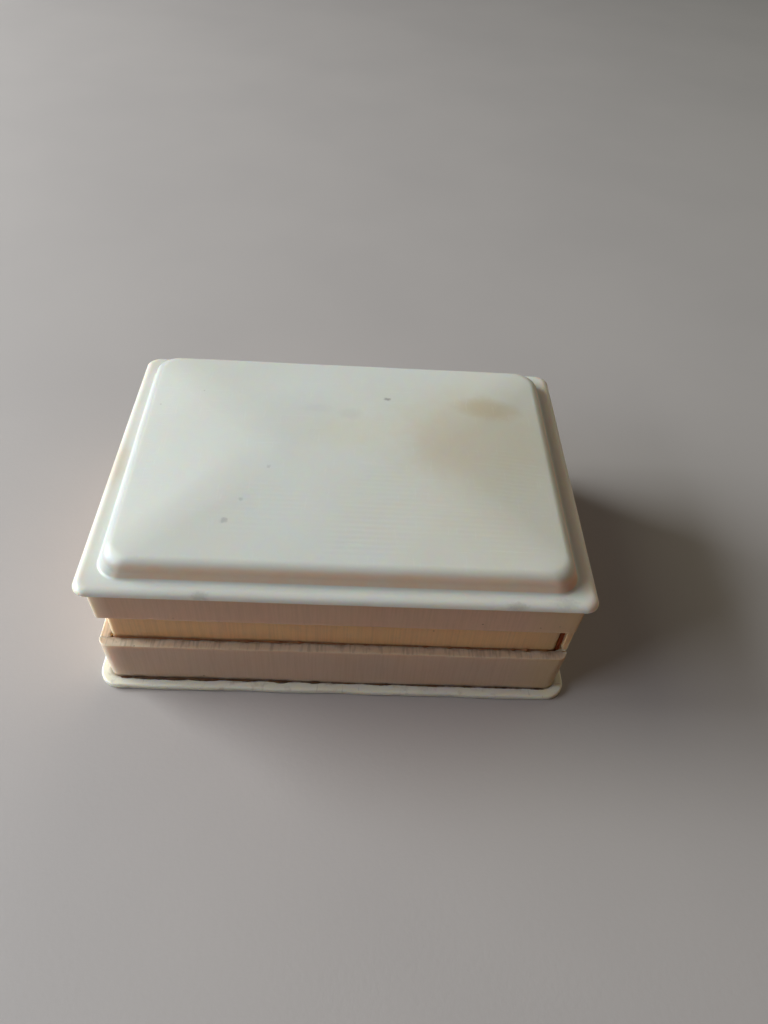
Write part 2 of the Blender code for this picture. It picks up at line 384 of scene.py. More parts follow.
def base_plate(finish):
    """The bottom sheet, its corners and edges rounded by wear."""
    low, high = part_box("base_plate")
    levels = [(3 * MM, low.z)]
    for start, middle in ((-90, low.z + PLATE_ROUND), (0, high.z - PLATE_ROUND)):
        for angle in np.radians(start + np.linspace(0, 90, 6)):
            inset = PLATE_ROUND * (1 - math.cos(angle))
            levels.append((inset, middle + PLATE_ROUND * math.sin(angle)))
    levels += [(1.6 * MM, high.z), (3.2 * MM, high.z)]
    rings = []
    for inset, z in levels:
        flat, normals = outline(
            high.x - inset, high.y - inset, max(PLATE_CORNER - inset, 0.3 * MM), 150, 110, 10
        )
        flat = flat - normals * (0.05 * MM * np.maximum(1.2 + swell(flat, 11 * MM, 31), 0))[:, None]
        rings.append(np.column_stack((flat, np.full(len(flat), z))))
    return settle(loft("base_plate_sheet", rings, finish), "base", "ivory_base", "base_plate")


# ---------------------------------------------------------------- the cake


def cast_cake(finish):
    """The cake: rounded rim, a bow's trough along it, chips on the rim and fine bow marks."""
    low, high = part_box("rosin_cake")
    draw = np.random.default_rng(71)
    half_x, half_y, height = high.x, high.y, high.z - low.z

    def top_at(flat):
        sag = TROUGH_RADIUS - np.sqrt(TROUGH_RADIUS ** 2 - flat[:, 1] ** 2)
        depth = TROUGH_DEPTH - sag
        soft = 0.08 * MM
        dip = 0.5 * (depth + np.sqrt(depth ** 2 + soft ** 2))
        return high.z - dip

    stations = [(3.0 * MM, 0.0, 0.0), (0.4 * MM, 0.0, 0.0), (0.0, 0.0, 0.35 * MM)]
    side = np.linspace(0.04, 1, 14)
    stations += [(CAKE_DRAFT * share, share, 0.0) for share in side]
    for angle in np.radians(np.linspace(10, 90, 9)):
        inset = CAKE_DRAFT + CAKE_EDGE_ROUND * (1 - math.cos(angle))
        stations.append((inset, 1.0, CAKE_EDGE_ROUND * math.sin(angle)))
    first = CAKE_DRAFT + CAKE_EDGE_ROUND
    for share in np.linspace(0, 1, CAKE_TOP_RINGS)[1:]:
        inset = first + (half_y - first) * CROWN_SHARE * share
        stations.append((inset, 1.0, CAKE_EDGE_ROUND))
    rings = []
    for inset, share, extra in stations:
        radius = max(CAKE_CORNER - inset * 0.2, 0.3 * MM)
        radius = min(radius, (half_y - inset) * 0.98)
        flat, _ = outline(half_x - inset, half_y - inset, radius, 132, 96, 6)
        top = top_at(flat) - CAKE_EDGE_ROUND
        z = low.z + (top - low.z) * share + extra
        rings.append(np.column_stack((flat, z)))
    rings = np.array(rings)
    points = rings.reshape(-1, 3)
    deep = smooth(points[:, 2], low.z + 0.8 * height, high.z - 1.0 * MM)
    for _ in range(RIM_CHIPS):
        turn = draw.uniform(0, 2 * math.pi)
        reach = draw.uniform(0.5, 1.9) * MM
        along = np.clip((1.5 * math.cos(turn), 1.5 * math.sin(turn)), -1, 1)
        centre = np.array((along[0] * (half_x - 0.5 * MM), along[1] * (half_y - 0.5 * MM), 0))
        centre[2] = top_at(centre[None, :2])[0] + 0.1 * MM
        gap = np.linalg.norm(points - centre, axis=1)
        bite = np.where(gap < reach, np.sqrt(np.maximum(reach ** 2 - gap ** 2, 0)), 0) * 0.34
        inward = np.array((-math.cos(turn), -math.sin(turn), -0.9))
        points += (bite * deep)[:, None] * inward / np.linalg.norm(inward)
    on_top = smooth(points[:, 2], high.z - 1.6 * MM, high.z - 0.9 * MM)
    patchy = 0.4 + 0.6 * smooth(swell(points, 9 * MM, 73), -0.6, 0.8)
    grain = swell(points[:, 1:2], 0.75 * MM, 72, 12) * patchy
    points[:, 2] += 0.014 * MM * on_top * (grain - 2)
    points[:, 2] += 0.02 * MM * (swell(points, 5 * MM, 74) - 2) * on_top
    return settle(loft("cast_rosin_cake", rings, finish, 35), "base", "rosin", "rosin_cake")


# ---------------------------------------------------------------- glue and dirt in the joints


def bead(name, start, end, radius, finish, body, slot, seed, rough=0.35, flat=1.0, blobs=()):
    """A bead of glue or dirt from start to end, thin at its ends.

    radius is its usual size, rough how much that varies, flat its height over its width.
    blobs holds (share of the length, extra radius in mm, half length in mm).
    """
    start, end = Vector(start), Vector(end)
    way = (end - start).normalized()
    up = Vector((0, 0, 1)) if abs(way.z) < 0.9 else Vector((0, -1, 0))
    side = way.cross(up).normalized()
    length = (end - start).length
    count = max(6, round(length / (0.28 * MM)))
    shares = np.linspace(0, 1, count)
    line = np.outer(shares, np.array(way) * length) + np.array(start)
    uneven = swell(line, 2.2 * MM, seed) + 0.5 * swell(line, 0.7 * MM, seed + 1)
    size = radius * (1 + rough * uneven)
    for share, extra, half in blobs:
        near = ((shares - share) * length / (half * MM)) ** 2
        size = size + extra * MM * np.exp(-near)
    size = np.clip(size, 0.18 * radius, None)
    size *= np.clip(np.minimum(shares, 1 - shares) * length / (0.25 * MM) + 0.1, 0, 1)
    angles = np.linspace(0, 2 * math.pi, 11)[:-1]
    rings = []
    for spot, reach in zip(line, size):
        turn = np.outer(np.cos(angles), np.array(side)) + flat * np.outer(np.sin(angles), np.array(up))
        rings.append(spot + reach * turn)
    return settle(loft(name, np.array(rings)[:, ::-1], finish, 180), body, slot)


def frame_of_beads(prefix, low, high, z, radius, finish, body, slot, seed, short=0.0, **style):
    """Four beads round a rectangle at one height, each short of its corners.

    style may hold blobs by side name.
    """
    blobs = style.pop("blobs", {})
    left, right, front, back = low[0] + short, high[0] - short, low[1] + short, high[1] - short
    sides = {
        "front": ((left, low[1], z), (right, low[1], z)),
        "right": ((high[0], front, z), (high[0], back, z)),
        "back": ((right, high[1], z), (left, high[1], z)),
        "left": ((low[0], back, z), (low[0], front, z)),
    }
    for number, (side, (start, end)) in enumerate(sides.items()):
        bead(
            f"{prefix}_{side}", start, end, radius, finish, body, slot,
            seed + 10 * number, blobs=blobs.get(side, ()), **style,
        )


# The residue's half sizes, its corner, and its place from collar_front's end and face.
RESIDUE_HALF = (0.34 * MM, 0.45 * MM)
RESIDUE_CORNER = 0.12 * MM
RESIDUE_OUT = 0.14 * MM
RESIDUE_BACK = 0.62 * MM


def worn_corner_residue(finish):
    """Dark red resin behind the collar's right front corner, in the gap to the lid's strip."""
    front_low, front_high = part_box("collar_front")
    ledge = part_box("base_wall_front")[1].z
    rings = []
    for z in np.linspace(ledge - 0.2 * MM, front_high.z - 0.5 * MM, 60):
        flat, normals = outline(*RESIDUE_HALF, RESIDUE_CORNER, 4, 4, 4)
        flat = flat + (front_high.x + RESIDUE_OUT, front_low.y + RESIDUE_BACK)
        ring = np.column_stack((flat, np.full(len(flat), z)))
        ring[:, :2] -= normals * (0.05 * MM * (1 + swell(ring, 1.1 * MM, 61)))[:, None]
        rings.append(ring)
    settle(loft("collar_corner_residue", rings, finish, 60), "base", "amber_collar")


def joint_fillings(dirt, dark, residue):
    """Dirt along the lines where one sheet stands on another."""
    skirt, wall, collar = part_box("lid_skirt_left"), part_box("base_wall_left"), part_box("collar_left")
    wall_x, collar_x = -wall[0].x, -collar[0].x
    skirt_y, wall_y, collar_y = (
        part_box(name)[1].y for name in ("lid_skirt_back", "base_wall_back", "collar_back")
    )
    plate_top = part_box("base_plate")[1].z
    brim_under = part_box("lid_top")[0].z
    frame_of_beads(
        "brim_joint_dirt", (skirt[0].x, -skirt_y), (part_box("lid_skirt_right")[1].x, skirt_y),
        brim_under - 0.03 * MM, 0.08 * MM, dirt, "lid", "ivory_lid", 100, 0.3 * MM, rough=0.25,
    )
    frame_of_beads(
        "ledge_dirt", (-collar_x, -collar_y), (collar_x, collar_y), wall[1].z + 0.02 * MM,
        0.09 * MM, dirt, "base", "amber_collar", 200, 1.2 * MM, rough=0.7, flat=0.9,
        blobs={"front": (
            (0.04, 0.10, 0.4), (0.17, 0.10, 1.5), (0.297, 0.16, 0.7), (0.36, 0.12, 1.0),
            (0.415, 0.16, 0.4), (0.51, 0.14, 0.5), (0.57, 0.12, 0.5), (0.708, 0.16, 0.5),
            (0.765, 0.14, 0.4), (0.81, 0.16, 0.6), (0.915, 0.24, 0.3), (0.945, 0.30, 0.4),
        )},
    )
    frame_of_beads(
        "plate_joint_dirt", (-wall_x + 0.3 * MM, -wall_y), (wall_x - 0.3 * MM, wall_y),
        plate_top + 0.02 * MM, 0.09 * MM, dark, "base", "ivory_base", 300, WALL_CORNER,
        rough=0.6, flat=0.8,
        blobs={"front": (
            (0.05, 0.20, 2.0), (0.12, 0.26, 2.5), (0.19, 0.24, 2.0), (0.27, 0.16, 2.0),
            (0.37, 0.16, 1.6), (0.45, 0.12, 0.8), (0.60, 0.08, 1.5), (0.72, 0.10, 1.2),
        )},
    )
    worn_corner_residue(residue)


# ---------------------------------------------------------------- materials


class Recipe:
    """One node material. Values may be numbers or sockets, and lengths are in mm."""

    def __init__(self, name):
        self.material = bpy.data.materials.new(name)
        self.material.use_nodes = True
        self.nodes = self.material.node_tree.nodes
        self.links = self.material.node_tree.links
        self.shader = self.nodes["Principled BSDF"]
        inside = self.nodes.new("ShaderNodeTexCoord").outputs["Object"]
        self.place = self.vector("SCALE", inside, scale=1 / MM)

    def plug(self, socket, value):
        """Links a socket or sets a plain value."""
        if isinstance(value, bpy.types.NodeSocket):
            self.links.new(value, socket)
        else:
            socket.default_value = value

    def vector(self, operation, a, b=None, scale=None):
        """A vector sum, or its length or dot product as a number."""
        node = self.nodes.new("ShaderNodeVectorMath")
        node.operation = operation
        self.plug(node.inputs[0], a)
        if b is not None:
            self.plug(node.inputs[1], b)
        if scale is not None:
            self.plug(node.inputs["Scale"], scale)
        return node.outputs["Value" if operation in ("LENGTH", "DOT_PRODUCT") else "Vector"]

    def maths(self, operation, a, b=0.0, clamp=False):
        """A sum of two numbers."""
        node = self.nodes.new("ShaderNodeMath")
        node.operation = operation
        node.use_clamp = clamp
        self.plug(node.inputs[0], a)
        self.plug(node.inputs[1], b)
        return node.outputs[0]

    def noise(self, size, detail=3.0, rough=0.55, stretch=(1, 1, 1), shift=(0, 0, 0)):
        """Noise whose blobs are about size mm, longer by stretch along each axis."""
        node = self.nodes.new("ShaderNodeTexNoise")
        squeezed = self.vector("DIVIDE", self.place, stretch)
        self.plug(node.inputs["Vector"], self.vector("ADD", squeezed, shift))
        node.inputs["Scale"].default_value = 1 / size
        node.inputs["Detail"].default_value = detail
        node.inputs["Roughness"].default_value = rough
        return node.outputs["Fac"]

    def specks(self, size, radius, shift=(0, 0, 0), stretch=(1, 1, 1)):
        """1 on sparse dots of about radius mm, one to each cell of size mm at most."""
        node = self.nodes.new("ShaderNodeTexVoronoi")
        squeezed = self.vector("DIVIDE", self.place, stretch)
        self.plug(node.inputs["Vector"], self.vector("ADD", squeezed, shift))
        node.inputs["Scale"].default_value = 1 / size
        reach = self.maths("MULTIPLY", self.noise(size * 0.9, 0, shift=shift), 2 * radius / size)
        return self.band(node.outputs["Distance"], reach, self.maths("MULTIPLY", reach, 0.4))

    def band(self, value, low, high, ends=(0.0, 1.0)):
        """An S-curve from the first end at low to the second at high."""
        node = self.nodes.new("ShaderNodeMapRange")
        node.interpolation_type = "SMOOTHSTEP"
        self.plug(node.inputs["Value"], value)
        self.plug(node.inputs["From Min"], low)
        self.plug(node.inputs["From Max"], high)
        self.plug(node.inputs["To Min"], ends[0])
        self.plug(node.inputs["To Max"], ends[1])
        return node.outputs[0]

    def mix(self, share, a, b):
        """Colour a with a share of colour b."""
        node = self.nodes.new("ShaderNodeMix")
        node.data_type = "RGBA"
        self.plug(node.inputs["Factor"], share)
        self.plug(node.inputs["A"], a if isinstance(a, bpy.types.NodeSocket) else (*a, 1.0))
        self.plug(node.inputs["B"], b if isinstance(b, bpy.types.NodeSocket) else (*b, 1.0))
        return node.outputs["Result"]

    def axis(self, name, vector=None):
        """One axis of a vector, or of the place on the object in mm."""
        node = self.nodes.new("ShaderNodeSeparateXYZ")
        self.plug(node.inputs[0], vector if vector is not None else self.place)
        return node.outputs[name]

    def facing(self, axis):
        """The surface normal's share along an axis, from -1 to 1."""
        geometry = self.nodes.new("ShaderNodeNewGeometry")
        return self.axis(axis, geometry.outputs["Normal"])

    def stain(self, centre, reach, soft=0.6, ragged=0.35, size=2.5):
        """1 within an ellipsoid round centre, fading over a soft share of it, its edge ragged."""
        away = self.vector("DIVIDE", self.vector("SUBTRACT", self.place, centre), reach)
        gap = self.vector("LENGTH", away)
        wobble = self.maths("MULTIPLY", self.maths("SUBTRACT", self.noise(size), 0.5), 2 * ragged)
        return self.band(self.maths("ADD", gap, wobble), 1 + soft / 2, 1 - soft / 2)

    def grime(self, prefix, corner, reach):
        """Ragged dirt round the foot of a frame of strips: 1 beside it, gone within reach mm.

        corner is the radius of the frame's upright corners in mm.
        """
        squares = []
        for axis, name in (("X", "_right"), ("Y", "_back")):
            straight = getattr(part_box(prefix + name)[1], axis.lower()) / MM - corner
            over = self.maths("SUBTRACT", self.maths("ABSOLUTE", self.axis(axis)), straight)
            squares.append(self.maths("POWER", self.maths("MAXIMUM", over, 0.0), 2.0))
        away = self.maths("SUBTRACT", self.maths("SQRT", self.maths("ADD", *squares)), corner)
        patches = self.band(self.noise(2.6, 2, shift=(6, 3, 1)), 0.42, 0.66, (1.0, 2.6))
        ragged = self.maths("MULTIPLY", self.noise(0.7, 4, 0.75, shift=(6, 3, 1)), reach)
        ragged = self.maths("MULTIPLY", ragged, patches)
        return self.band(away, ragged, self.maths("MULTIPLY", ragged, -0.4))

    def bump(self, height, depth, below=None):
        """Relief of depth mm over the height's range."""
        node = self.nodes.new("ShaderNodeBump")
        node.inputs["Strength"].default_value = 1.0
        node.inputs["Distance"].default_value = depth * MM
        self.plug(node.inputs["Height"], height)
        if below is not None:
            self.plug(node.inputs["Normal"], below)
        return node.outputs[0]

    def set(self, **values):
        """Shader inputs by name, with _ for a space."""
        for name, value in values.items():
            self.plug(self.shader.inputs[name.replace("_", " ")], value)

    def translucent(self, weight, radius, scale):
        """Light scatters within the material: radius by colour, times scale mm."""
        self.set(Subsurface_Weight=weight, Subsurface_Radius=radius, Subsurface_Scale=scale * MM)


def surface_marks(recipe, scratch_depth=0.004):
    """Handling marks common to the plastic pieces: haze in the gloss and hair scratches."""
    haze = recipe.noise(7, 4, 0.6)
    fine = recipe.noise(0.5, 3, 0.6)
    along = recipe.noise(0.35, 1, 0.5, stretch=(26, 1.2, 1.2))
    across = recipe.noise(0.35, 1, 0.5, stretch=(1.3, 17, 1.3), shift=(9, 4, 2))
    scratches = recipe.maths("MAXIMUM", recipe.band(along, 0.66, 0.74), recipe.band(across, 0.67, 0.75))
    relief = recipe.bump(recipe.noise(2.2, 3, 0.5), 0.02)
    relief = recipe.bump(fine, 0.0025, relief)
    relief = recipe.bump(recipe.maths("MULTIPLY", scratches, -1.0), scratch_depth, relief)
    return haze, scratches, relief


IVORY = (0.715, 0.700, 0.610)
# Painted warm shade for the dome's steep sides.
IVORY_SHADE_BROWN = (0.82, 0.57, 0.37)
IVORY_STAIN = (0.56, 0.45, 0.27)
# The strips' ivory: slightly warmer than the lid's, darkened with painted warm shade.
STRIP_IVORY_SHADED = (0.66, 0.41, 0.26)
LEDGE_IVORY = (0.63, 0.50, 0.36)
AMBER = (0.88, 0.465, 0.225)
PLATE_IVORY = (0.80, 0.76, 0.62)
DIRT = (0.27, 0.13, 0.062)
DIRT_DARK = (0.105, 0.062, 0.036)
SCATTER = (1.0, 0.55, 0.28)
WALL_GRIME_CORNER = 2.2


def lid_material():
    """Pale ivory, greenish white where clean and yellowed to the right, with painted shade on the dome's
    sides and left wall.
    """
    r = Recipe("lid_ivory")
    brim_top = (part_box("lid_top")[0].z + TOP_SHEET) / MM
    haze, scratches, relief = surface_marks(r)
    colour = r.mix(r.band(r.noise(16, 1.5), 0.3, 0.7), IVORY, (0.70, 0.70, 0.625))
    aged = r.stain((32, -3, 28.6), (22, 24, 4.0), soft=1.3, ragged=0.5, size=12)
    colour = r.mix(r.maths("MULTIPLY", aged, 0.55), colour, (0.66, 0.60, 0.46))
    colour = r.mix(r.band(r.axis("X"), -34.5, -36.5, (0.0, 0.5)), colour, (0.70, 0.66, 0.53))
    colour = r.mix(r.band(r.axis("X"), 35.6, 37.0, (0.0, 0.7)), colour, (0.80, 0.68, 0.55))
    blotches = r.band(r.noise(9, 1.0, shift=(3, 8, 1)), 0.35, 0.8)
    colour = r.mix(r.maths("MULTIPLY", blotches, 0.08), colour, (0.70, 0.60, 0.52))
    # Stains: centre and reach in mm, strength and colour.
    for centre, reach, strength, tint in (
        ((24.5, 11.8, 28.8), (4.8, 2.6, 9), 0.62, IVORY_STAIN),
        ((21.0, 4.0, 28.8), (14.0, 11.0, 9), 0.36, (0.61, 0.53, 0.36)),
        ((16.8, 1.0, 29.0), (5.0, 6.5, 9), 0.22, (0.66, 0.51, 0.38)),
        ((-8.5, 6.5, 29.0), (8.0, 7.0, 9), 0.20, (0.58, 0.56, 0.49)),
        ((0.2, 3.2, 29.4), (5.5, 4.0, 9), 0.22, (0.66, 0.62, 0.42)),
        ((0.9, 8.2, 29.0), (1.8, 1.4, 9), 0.22, (0.50, 0.50, 0.48)),
        ((-5.0, 9.3, 29.0), (2.4, 1.1, 9), 0.18, (0.50, 0.50, 0.47)),
        ((-36.9, -1.4, 24.7), (1.6, 4.8, 2), 0.30, (0.55, 0.42, 0.25)),
    ):
        mark = r.stain(centre, reach, soft=1.1)
        colour = r.mix(r.maths("MULTIPLY", mark, strength), colour, tint)
    # Dark specks on the roof and scuffs on the brim: centre and reach in mm, and strength.
    for centre, reach, strength in (
        ((7.1, 13.0, 28.7), (0.50, 0.40, 3), 0.60),
        ((-17.1, -16.5, 28.5), (0.5, 0.45, 3), 0.30),
        ((-15.2, -12.4, 28.5), (0.3, 0.3, 3), 0.20),
        ((-11.6, -5.6, 28.5), (0.3, 0.3, 3), 0.22),
        ((-19.4, -27.5, 24.8), (1.1, 0.5, 1), 0.25),
        ((26.1, -27.5, 24.8), (1.3, 0.5, 1), 0.25),
        ((33.2, -26.8, 25.0), (1.6, 0.7, 1), 0.20),
    ):
        mark = r.stain(centre, reach, soft=1.2, ragged=1.0, size=0.45)
        colour = r.mix(r.maths("MULTIPLY", mark, strength), colour, (0.20, 0.17, 0.13))
    specks = r.maths("MULTIPLY", r.specks(6.5, 0.16), 0.35)
    colour = r.mix(specks, colour, (0.30, 0.25, 0.18))
    # Painted shade: the dome's steep sides are painted warm brown for the shade on them, deeper at the
    # right end and fainter at the left end, and its left wall is painted greyer.
    steep = r.band(r.facing("Z"), 0.86, 0.35)
    above_brim = r.band(r.axis("Z"), brim_top + 0.02, brim_top + 0.30)
    sides = r.maths("MULTIPLY", steep, r.band(r.noise(3, 3), 0.2, 0.8, (0.50, 0.85)))
    sides = r.maths("MULTIPLY", sides, above_brim)
    sides = r.maths("MULTIPLY", sides, r.band(r.axis("X"), -34.5, -29.0, (0.25, 1.0)))
    right_end = r.band(r.axis("X"), 30, 36)
    shade_tan = r.mix(right_end, IVORY_SHADE_BROWN, (1.0, 0.50, 0.28))
    colour = r.mix(sides, colour, shade_tan)
    # Painted shade: faces turned to the left lamps are painted greyer, damping their highlight.
    turned_left = r.band(r.facing("X"), -0.15, -0.45)
    left_wall_shade = r.maths("MULTIPLY", turned_left, above_brim)
    colour = r.mix(r.maths("MULTIPLY", left_wall_shade, 0.85), colour, (0.50, 0.50, 0.45))
    colour = r.mix(r.maths("MULTIPLY", scratches, 0.12), colour, (0.82, 0.80, 0.74))
    rough = r.maths("ADD", r.band(haze, 0.3, 0.75, (0.33, 0.43)), r.maths("MULTIPLY", scratches, 0.12))
    r.set(Base_Color=colour, Roughness=rough, Normal=relief, IOR=1.50)
    r.translucent(0.85, SCATTER, 1.1)
    return r.material


def strip_material(name, base, streak, ledge, dirt=None, neighbour=None):
    """Sheet plastic seen on its broad face, with saw streaks, paler sawn edges and a painted glow at its
    left end.

    dirt may hold (colour, height in mm, reach in mm): a smear fading from that level.
    neighbour names the frame of strips whose foot gathers dirt on this one's edge.
    """
    r = Recipe(name)
    haze, scratches, relief = surface_marks(r)
    streaks = r.noise(0.32, 2, 0.6, stretch=(1, 1, 40))
    colour = r.mix(r.band(r.noise(9, 3), 0.3, 0.7), base, streak)
    colour = r.mix(r.band(streaks, 0.35, 0.75, (0.0, 0.22)), colour, (0.42, 0.25, 0.15))
    clouds = r.band(r.noise(2.0, 3, shift=(5, 1, 7)), 0.5, 0.8, (0.0, 0.25))
    colour = r.mix(clouds, colour, (0.60, 0.36, 0.22))
    yellow_end = r.band(r.axis("X"), 26, 36, (0.0, 0.6))
    colour = r.mix(yellow_end, colour, (0.56, 0.39, 0.18))
    flat = r.band(r.maths("ABSOLUTE", r.facing("Z")), 0.5, 0.9)
    ticks = r.noise(0.55, 2, 0.65, stretch=(1, 9, 9), shift=(2, 2, 2))
    edge = r.mix(r.band(ticks, 0.46, 0.66, (0.0, 0.55)), ledge, tuple(0.55 * c for c in ledge))
    if neighbour:
        grime = r.grime(neighbour, COLLAR_CORNER / MM, 1.0)
        edge = r.mix(r.maths("MULTIPLY", grime, 0.8), edge, (0.22, 0.095, 0.042))
    # Painted glow: the left end is painted paler and warmer for the light from the left lamps shining
    # through the corners.
    left_end_glow = r.band(r.axis("X"), -33.0, -36, (0.0, 0.7))
    colour = r.mix(left_end_glow, colour, (1.0, 0.78, 0.58))
    colour = r.mix(flat, colour, edge)
    colour = r.mix(r.maths("MULTIPLY", r.specks(3.5, 0.16), 0.6), colour, (0.16, 0.09, 0.05))
    if dirt:
        smear, level, reach = dirt
        away = r.maths("ABSOLUTE", r.maths("SUBTRACT", r.axis("Z"), level))
        thick = r.band(r.axis("X"), 6, -16, (1.3 * reach, 2.8 * reach))
        ragged = r.maths("MULTIPLY", r.noise(1.6, 4, 0.65, stretch=(2.5, 2.5, 1)), thick)
        cover = r.band(away, ragged, r.maths("MULTIPLY", ragged, 0.1))
        colour = r.mix(r.maths("MULTIPLY", cover, 0.85), colour, smear)
    relief = r.bump(streaks, 0.006, relief)
    rough = r.band(haze, 0.3, 0.75, (0.30, 0.46))
    r.set(Base_Color=colour, Roughness=rough, Normal=relief, IOR=1.50)
    r.translucent(0.9, (1.0, 0.72, 0.48), 1.9)
    return r.material


def plate_material():
    """The base plate: the cleanest ivory, with a green cast, scuffed underneath."""
    r = Recipe("plate_ivory")
    haze, scratches, relief = surface_marks(r, 0.008)
    colour = r.mix(r.band(r.noise(8, 3), 0.3, 0.7), PLATE_IVORY, (0.76, 0.71, 0.58))
    colour = r.mix(r.band(r.noise(1.6, 3), 0.55, 0.75, (0.0, 0.4)), colour, (0.42, 0.33, 0.23))
    grime = r.grime("base_wall", WALL_GRIME_CORNER, 0.40)
    colour = r.mix(r.maths("MULTIPLY", grime, 0.65), colour, DIRT)
    colour = r.mix(r.maths("MULTIPLY", scratches, 0.3), colour, (0.38, 0.33, 0.27))
    rough = r.band(haze, 0.3, 0.75, (0.30, 0.5))
    r.set(Base_Color=colour, Roughness=rough, Normal=relief, IOR=1.50)
    r.translucent(0.85, (0.9, 0.7, 0.4), 1.2)
    return r.material


def dirt_material(name, base, warm):
    """Old glue mixed with dust: dark, uneven and dull, redder where it is thin."""
    r = Recipe(name)
    colour = r.mix(r.band(r.noise(0.9, 3), 0.35, 0.7), base, warm)
    relief = r.bump(r.noise(0.25, 3, 0.7), 0.03)
    rough = r.band(r.noise(0.6, 3), 0.3, 0.7, (0.6, 0.9))
    r.set(Base_Color=colour, Roughness=rough, Normal=relief, Specular_IOR_Level=0.15)
    r.translucent(0.5, (1.0, 0.3, 0.1), 0.4)
    return r.material


def rosin_material():
    """Dark amber rosin, glassy on broken faces, with pale bow dust lying on top."""
    r = Recipe("rosin_amber")
    veins = r.noise(6, 4, 0.6, stretch=(2.5, 1, 1))
    colour = r.mix(r.band(veins, 0.35, 0.7), (0.22, 0.055, 0.010), (0.42, 0.13, 0.022))
    upward = r.band(r.facing("Z"), 0.55, 0.97)
    streaks = r.noise(0.5, 3, 0.65, stretch=(30, 1, 1))
    powder = r.maths("MULTIPLY", upward, r.band(streaks, 0.38, 0.66))
    patch = r.band(r.noise(7, 3, shift=(1, 5, 3)), 0.3, 0.65, (0.35, 1.0))
    powder = r.maths("MULTIPLY", r.maths("MULTIPLY", powder, patch), 0.36)
    colour = r.mix(powder, colour, (0.78, 0.66, 0.46))
    relief = r.bump(r.noise(3.0, 3), 0.03)
    relief = r.bump(streaks, 0.012, relief)
    glassy = r.band(r.noise(2.0), 0.3, 0.7, (0.10, 0.24))
    rough = r.maths("ADD", glassy, r.maths("MULTIPLY", powder, 0.6), clamp=True)
    r.set(Base_Color=colour, Roughness=rough, Normal=relief, IOR=1.54, Coat_Weight=0.25)
    r.translucent(0.75, (1.0, 0.28, 0.06), 2.5)
    return r.material


def floor_material():
    """A plain pale table top."""
    r = Recipe("pale_floor")
    colour = r.mix(r.band(r.noise(60, 3), 0.3, 0.7), (0.44, 0.393, 0.357), (0.42, 0.375, 0.342))
    r.set(Base_Color=colour, Roughness=0.62, Normal=r.bump(r.noise(0.8, 3), 0.02))
    return r.material


# ---------------------------------------------------------------- stage, light and camera


PANEL_SIZE = (0.45, 0.40)
PANEL_DISTANCE = 0.85
PANEL_AIM = 0.015

# The camera's turns in radians, its lens in mm and its place from the brim's underside.
CAMERA_PITCH = 0.8181
CAMERA_YAW = 0.0655
CAMERA_ROLL = 0.0869
CAMERA_LENS = 26.93
CAMERA_RIGHT = 1.0 * MM
CAMERA_BACK = 92.65 * MM
CAMERA_ABOVE = 89.3 * MM


def floor(finish):
    """A large flat floor under the plate."""
    mesh = bpy.data.meshes.new("floor")
    reach = 3.0
    corners = [(-reach, -reach, 0), (reach, -reach, 0), (reach, reach, 0), (-reach, reach, 0)]
    mesh.from_pydata(corners, [], [(0, 1, 2, 3)])
    mesh.materials.append(finish)
    obj = bpy.data.objects.new("floor", mesh)
    bpy.context.scene.collection.objects.link(obj)


def heading(azimuth, elevation):
    """A unit vector. Azimuth 0 is behind the object (+Y) and 90 on its left (-X)."""
    turn, lift = math.radians(azimuth), math.radians(elevation)
    return Vector((-math.sin(turn) * math.cos(lift), math.cos(turn) * math.cos(lift), math.sin(lift)))


def area_light(name, azimuth, elevation, watts, colour):
    """A soft panel aimed at the middle of the object."""
    lamp = bpy.data.lights.new(name, "AREA")
    lamp.shape = "RECTANGLE"
    lamp.size, lamp.size_y = PANEL_SIZE
    lamp.energy = watts
    lamp.color = colour
    obj = bpy.data.objects.new(name, lamp)
    away = heading(azimuth, elevation)
    obj.location = away * PANEL_DISTANCE + Vector((0, 0, PANEL_AIM))
    obj.rotation_euler = away.to_track_quat("Z", "Y").to_euler()
    bpy.context.scene.collection.objects.link(obj)


def sky(lobes):
    """A world of soft lobes: (azimuth, elevation, tightness, colour), added together."""
    world = bpy.data.worlds.new("room")
    world.use_nodes = True
    nodes, links = world.node_tree.nodes, world.node_tree.links
    place = nodes.new("ShaderNodeTexCoord").outputs["Generated"]
    total = None
    for azimuth, elevation, tightness, colour in lobes:
        lean = nodes.new("ShaderNodeVectorMath")
        lean.operation = "DOT_PRODUCT"
        lean.inputs[1].default_value = heading(azimuth, elevation)
        links.new(place, lean.inputs[0])
        power = nodes.new("ShaderNodeMath")
        power.operation = "MULTIPLY_ADD"
        power.inputs[1].default_value = tightness
        power.inputs[2].default_value = -tightness
        links.new(lean.outputs["Value"], power.inputs[0])
        fall = nodes.new("ShaderNodeMath")
        fall.operation = "EXPONENT"
        links.new(power.outputs[0], fall.inputs[0])
        glow = nodes.new("ShaderNodeVectorMath")
        glow.operation = "MULTIPLY_ADD"
        links.new(fall.outputs[0], glow.inputs[0])
        glow.inputs[1].default_value = colour
        glow.inputs[2].default_value = (0, 0, 0)
        if total:
            links.new(total, glow.inputs[2])
        total = glow.outputs["Vector"]
    links.new(total, nodes["Background"].inputs["Color"])
    bpy.context.scene.world = world


def studio():
    """Cool soft panels on the left, a weak glow behind on the right and a dim ceiling."""
    area_light("left_panel", 75, 24, 9.3, (0.82, 0.91, 1.0))
    area_light("left_front_panel", 105, 24, 4.4, (0.80, 0.87, 1.0))
    area_light("high_panel", 75, 45, 1.05, (1.0, 1.0, 0.78))
    sky((
        (270, 12, 8.0, (0.36, 0.15, 0.04)),
        (315, 12, 8.0, (0.55, 0.69, 0.54)),
        (0, 42, 8.0, (0.04, 0.05, 0.09)),
        (0, 90, 6.0, (0.135, 0.105, 0.115)),
    ))
    bpy.context.scene.view_settings.view_transform = "Standard"


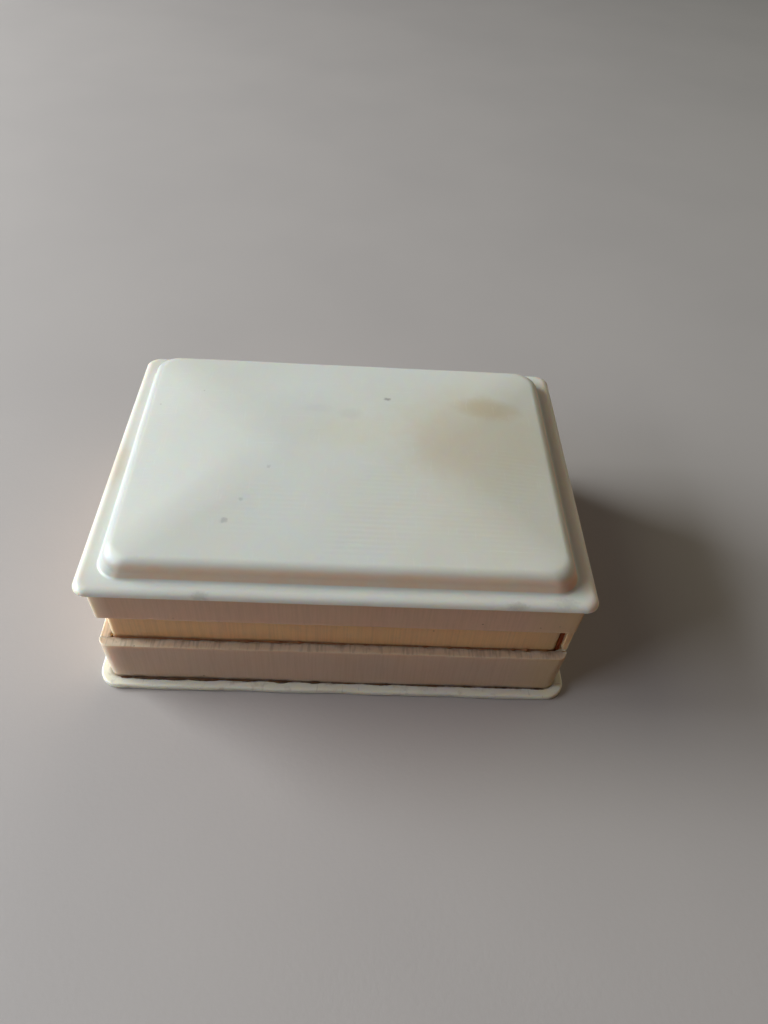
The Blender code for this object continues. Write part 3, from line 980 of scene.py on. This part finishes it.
def camera():
    """Close in front of the box and above it, turned and tipped a few degrees."""
    ahead = (math.sin(CAMERA_YAW), math.cos(CAMERA_YAW))
    flat = math.cos(CAMERA_PITCH)
    forward = Vector((ahead[0] * flat, ahead[1] * flat, -math.sin(CAMERA_PITCH)))
    level = Vector((ahead[1], -ahead[0], 0))
    above = level.cross(forward)
    right = math.cos(CAMERA_ROLL) * level + math.sin(CAMERA_ROLL) * above
    up = -math.sin(CAMERA_ROLL) * level + math.cos(CAMERA_ROLL) * above
    lens = bpy.data.cameras.new("camera")
    lens.lens = CAMERA_LENS
    lens.sensor_width = 36
    lens.clip_start = 0.001
    obj = bpy.data.objects.new("camera", lens)
    turn = Matrix((right, up, -forward)).transposed().to_4x4()
    low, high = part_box("lid_top")
    place = ((low.x + high.x) / 2 + CAMERA_RIGHT, -CAMERA_BACK, low.z + CAMERA_ABOVE)
    obj.matrix_world = Matrix.Translation(place) @ turn
    bpy.context.scene.collection.objects.link(obj)
    bpy.context.scene.camera = obj


# ---------------------------------------------------------------- assembly


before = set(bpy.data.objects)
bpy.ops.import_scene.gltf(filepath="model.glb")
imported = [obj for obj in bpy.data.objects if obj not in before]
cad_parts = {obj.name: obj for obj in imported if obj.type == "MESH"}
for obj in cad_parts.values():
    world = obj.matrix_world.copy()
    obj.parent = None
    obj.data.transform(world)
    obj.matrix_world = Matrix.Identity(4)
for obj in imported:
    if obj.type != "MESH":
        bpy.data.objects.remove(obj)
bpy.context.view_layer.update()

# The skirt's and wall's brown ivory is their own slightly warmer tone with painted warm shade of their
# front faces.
skirt_finish = strip_material("skirt_ivory", STRIP_IVORY_SHADED, (0.68, 0.41, 0.27), LEDGE_IVORY)
wall_finish = strip_material(
    "wall_ivory", (0.63, 0.425, 0.285), (0.60, 0.42, 0.29), LEDGE_IVORY,
    (DIRT_DARK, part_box("base_plate")[1].z / MM, 0.70), "collar",
)
collar_finish = strip_material(
    "collar_amber", AMBER, (0.90, 0.48, 0.21), (0.80, 0.52, 0.28),
    (DIRT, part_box("base_wall_front")[1].z / MM, 0.6),
)
dirt_finish = dirt_material("joint_dirt", DIRT, (0.36, 0.16, 0.065))
dark_finish = dirt_material("joint_dirt_dark", DIRT_DARK, (0.17, 0.085, 0.040))
residue_finish = dirt_material("corner_resin", (0.16, 0.030, 0.006), (0.24, 0.050, 0.012))

pressed_lid(lid_material())
strips_around("lid_skirt_", "lid", "ivory_lid", skirt_finish, 10, SKIRT_CORNER, 0.02, 0.10, glued_end=1)
strips_around(
    "base_wall_", "base", "ivory_base", wall_finish, 20, WALL_CORNER, 0.05, 0.16, fill=LEDGE_FILL
)
strips_around("collar_", "base", "amber_collar", collar_finish, 40, COLLAR_CORNER, 0.02, 0.10)
base_plate(plate_material())
cast_cake(rosin_material())
joint_fillings(dirt_finish, dark_finish, residue_finish)

floor(floor_material())
studio()
camera()
